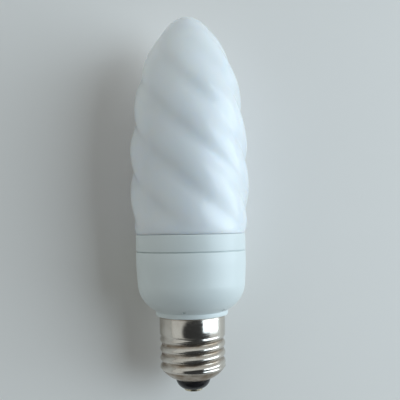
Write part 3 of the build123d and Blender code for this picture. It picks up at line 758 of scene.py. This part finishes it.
def addCamera():
    v = photoView
    cameraData = bpy.data.cameras.new("photoCamera")
    cameraData.sensor_width = 36.0
    cameraData.lens = v["focalPixels"] / v["imageWidth"] * cameraData.sensor_width
    cameraData.clip_start = 0.01
    camera = bpy.data.objects.new("photoCamera", cameraData)
    bpy.context.collection.objects.link(camera)
    pitch = radians(v["pitchDegrees"])
    backward = lampToWorld.to_3x3() @ Vector((0, -cos(pitch), -sin(pitch)))
    backward.normalize()
    right = Vector(lampRight)
    up = backward.cross(right)
    turn = Matrix((right, up, backward)).transposed().to_4x4()
    spot = lampToWorld @ Vector((v["aside"], -v["height"], v["alongAxis"]))
    camera.matrix_world = Matrix.Translation(spot) @ turn @ Matrix.Rotation(radians(v["rollDegrees"]), 4, "Z")
    bpy.context.scene.camera = camera


studio = {
    "floorColour": (0.84, 0.81, 0.77), "floorSize": 2.5,
    "windowPlace": (1.0, 0.05, 0.77), "windowAim": (0.0, 0.0, 0.02), "windowWidth": 0.9, "windowLength": 1.5,
    "windowWatts": 14.2, "windowColour": (0.73, 0.88, 1.0),
    "roomColour": (0.50, 0.53, 0.53), "ceilingColour": (0.035, 0.038, 0.04), "worldStrength": 1.15,
    "ceilingStart": 0.535, "ceilingEnd": 0.718, "ceilingNarrow": 1.7, "ceilingShift": 0.47,
    "endWallStart": -0.55, "endWallEnd": -0.8,
}


def addFloor():
    bm = bmesh.new()
    bmesh.ops.create_grid(bm, x_segments=1, y_segments=1, size=studio["floorSize"])
    mesh = bpy.data.meshes.new("paleFloor")
    bm.to_mesh(mesh)
    bm.free()
    paleFloor = bpy.data.objects.new("paleFloor", mesh)
    bpy.context.collection.objects.link(paleFloor)
    material, tree, shader, place = newMaterial("paleFloor")
    light = studio["floorColour"]
    mottledColour(tree, shader, place, 9.0, [channel * 0.985 for channel in light], light)
    setInputs(shader, Roughness=0.8)
    mesh.materials.append(material)


def addWindowLight():
    light = bpy.data.lights.new("windowLight", "AREA")
    light.shape = "RECTANGLE"
    light.size, light.size_y = studio["windowWidth"], studio["windowLength"]
    light.energy, light.color = studio["windowWatts"], studio["windowColour"]
    lamp = bpy.data.objects.new("windowLight", light)
    lamp.location = studio["windowPlace"]
    beam = Vector(studio["windowAim"]) - Vector(studio["windowPlace"])
    lamp.rotation_euler = beam.to_track_quat("-Z", "Y").to_euler()
    bpy.context.collection.objects.link(lamp)


# The room is dark over the cap and at the wall that the cap faces, and even elsewhere

def addRoom():
    world = bpy.data.worlds.new("studio")
    world.use_nodes = True
    tree = world.node_tree
    direction = addNode(tree, "ShaderNodeTexCoord")
    overCap = addNode(tree, "ShaderNodeMapping")
    overCap.inputs["Scale"].default_value = (1.0, studio["ceilingNarrow"], 1.0)
    overCap.inputs["Location"].default_value = (0.0, studio["ceilingShift"], 0.0)
    unit = addNode(tree, "ShaderNodeVectorMath", operation="NORMALIZE")
    overCapAxes = addNode(tree, "ShaderNodeSeparateXYZ")
    ceiling = addNode(tree, "ShaderNodeMapRange", interpolation_type="SMOOTHSTEP")
    setInputs(ceiling, From_Min=studio["ceilingStart"], From_Max=studio["ceilingEnd"])
    axes = addNode(tree, "ShaderNodeSeparateXYZ")
    endWall = addNode(tree, "ShaderNodeMapRange", interpolation_type="SMOOTHSTEP")
    setInputs(endWall, From_Min=studio["endWallStart"], From_Max=studio["endWallEnd"])
    dark = addNode(tree, "ShaderNodeMath", operation="MAXIMUM")
    tree.links.new(direction.outputs["Generated"], overCap.inputs["Vector"])
    tree.links.new(overCap.outputs["Vector"], unit.inputs[0])
    tree.links.new(unit.outputs["Vector"], overCapAxes.inputs["Vector"])
    tree.links.new(overCapAxes.outputs["Z"], ceiling.inputs["Value"])
    tree.links.new(direction.outputs["Generated"], axes.inputs["Vector"])
    tree.links.new(axes.outputs["Y"], endWall.inputs["Value"])
    tree.links.new(ceiling.outputs["Result"], dark.inputs[0])
    tree.links.new(endWall.outputs["Result"], dark.inputs[1])
    background = tree.nodes["Background"]
    setInputs(background, Strength=studio["worldStrength"])
    room = tonedColour(tree, dark.outputs["Value"], studio["roomColour"], studio["ceilingColour"])
    tree.links.new(room, background.inputs["Color"])
    bpy.context.scene.world = world


bpy.context.scene.view_settings.view_transform = "Standard"
addCamera()
addFloor()
addWindowLight()
addRoom()
print("camera and studio light")

plastic = whitePlastic()
makeGlassCover(opalGlass())
print("glass cover")
makeHousing(plastic)
makeTubeHolder(plastic)
print("housing and tube holder")
makeScrewCap(nickelPlate())
makeInsulator(blackGlass())
makeContact(softMetal("contactBrass", (0.42, 0.36, 0.24), (0.62, 0.56, 0.42), 0.18, 0.4))
makeSolder(softMetal("solderDrop", (0.45, 0.45, 0.45), (0.70, 0.70, 0.69), 0.2, 0.45))
print("screw cap, insulator and contact")

# name, dark, light, smooth, worn, mottle scale, bump depth, nodes
innerPieces = [
    ("phosphorCoat", (0.84, 0.84, 0.80), (0.90, 0.90, 0.87), 0.25, 0.5, 60.0, 0.0002, ["discharge_tube"]),
    ("siliconeCement", (0.72, 0.72, 0.68), (0.80, 0.80, 0.77), 0.45, 0.8, 180.0, 0.0005,
     ["tube_cement", "cover_cement"]),
    ("paperLaminate", (0.34, 0.22, 0.09), (0.46, 0.31, 0.14), 0.45, 0.7, 400.0, 0.0001, ["ballast_board"]),
    ("ferriteCore", (0.035, 0.035, 0.038), (0.07, 0.07, 0.072), 0.55, 0.85, 500.0, 0.0002,
     ["choke_core", "drive_ring"]),
    ("blackMoulding", (0.02, 0.02, 0.02), (0.045, 0.045, 0.045), 0.4, 0.65, 350.0, 0.0001,
     ["choke_bobbin", "power_transistor_1", "power_transistor_2", "rectifier_diode_1", "rectifier_diode_2",
      "rectifier_diode_3", "rectifier_diode_4"]),
    ("filmDip", (0.30, 0.05, 0.02), (0.42, 0.09, 0.04), 0.2, 0.45, 260.0, 0.0002,
     ["resonant_capacitor", "filter_capacitor", "starting_capacitor"]),
    ("canSleeve", (0.015, 0.03, 0.05), (0.03, 0.055, 0.08), 0.2, 0.4, 200.0, 0.0001, ["smoothing_capacitor"]),
    ("resistorLacquer", (0.42, 0.31, 0.17), (0.52, 0.40, 0.24), 0.25, 0.5, 600.0, 0.0001,
     ["start_resistor_1", "start_resistor_2", "base_resistor", "emitter_resistor", "fusible_resistor"]),
    ("diodeGlass", (0.36, 0.10, 0.05), (0.48, 0.16, 0.08), 0.1, 0.3, 500.0, 0.0001, ["trigger_diode"]),
]
windingNodes = ["choke_coil"] + [f"drive_winding_{i}" for i in range(1, 4)]
wireNodes = ["line_lead", "neutral_lead"]
wireNodes += [f"{kind}_{i}" for kind in ("wire_post", "filament_lead") for i in range(1, 5)]


def dressNodes(nodeNames, material):
    for nodeName in nodeNames:
        for slot in frame["nodes"][nodeName].material_slots:
            slot.material = material


for *finish, nodeNames in innerPieces:
    dressNodes(nodeNames, innerFinish(*finish))
dressNodes(windingNodes, copperWinding())
dressNodes(wireNodes, softMetal("tinnedWire", (0.50, 0.50, 0.49), (0.72, 0.72, 0.71), 0.2, 0.45))
print("inner pieces")
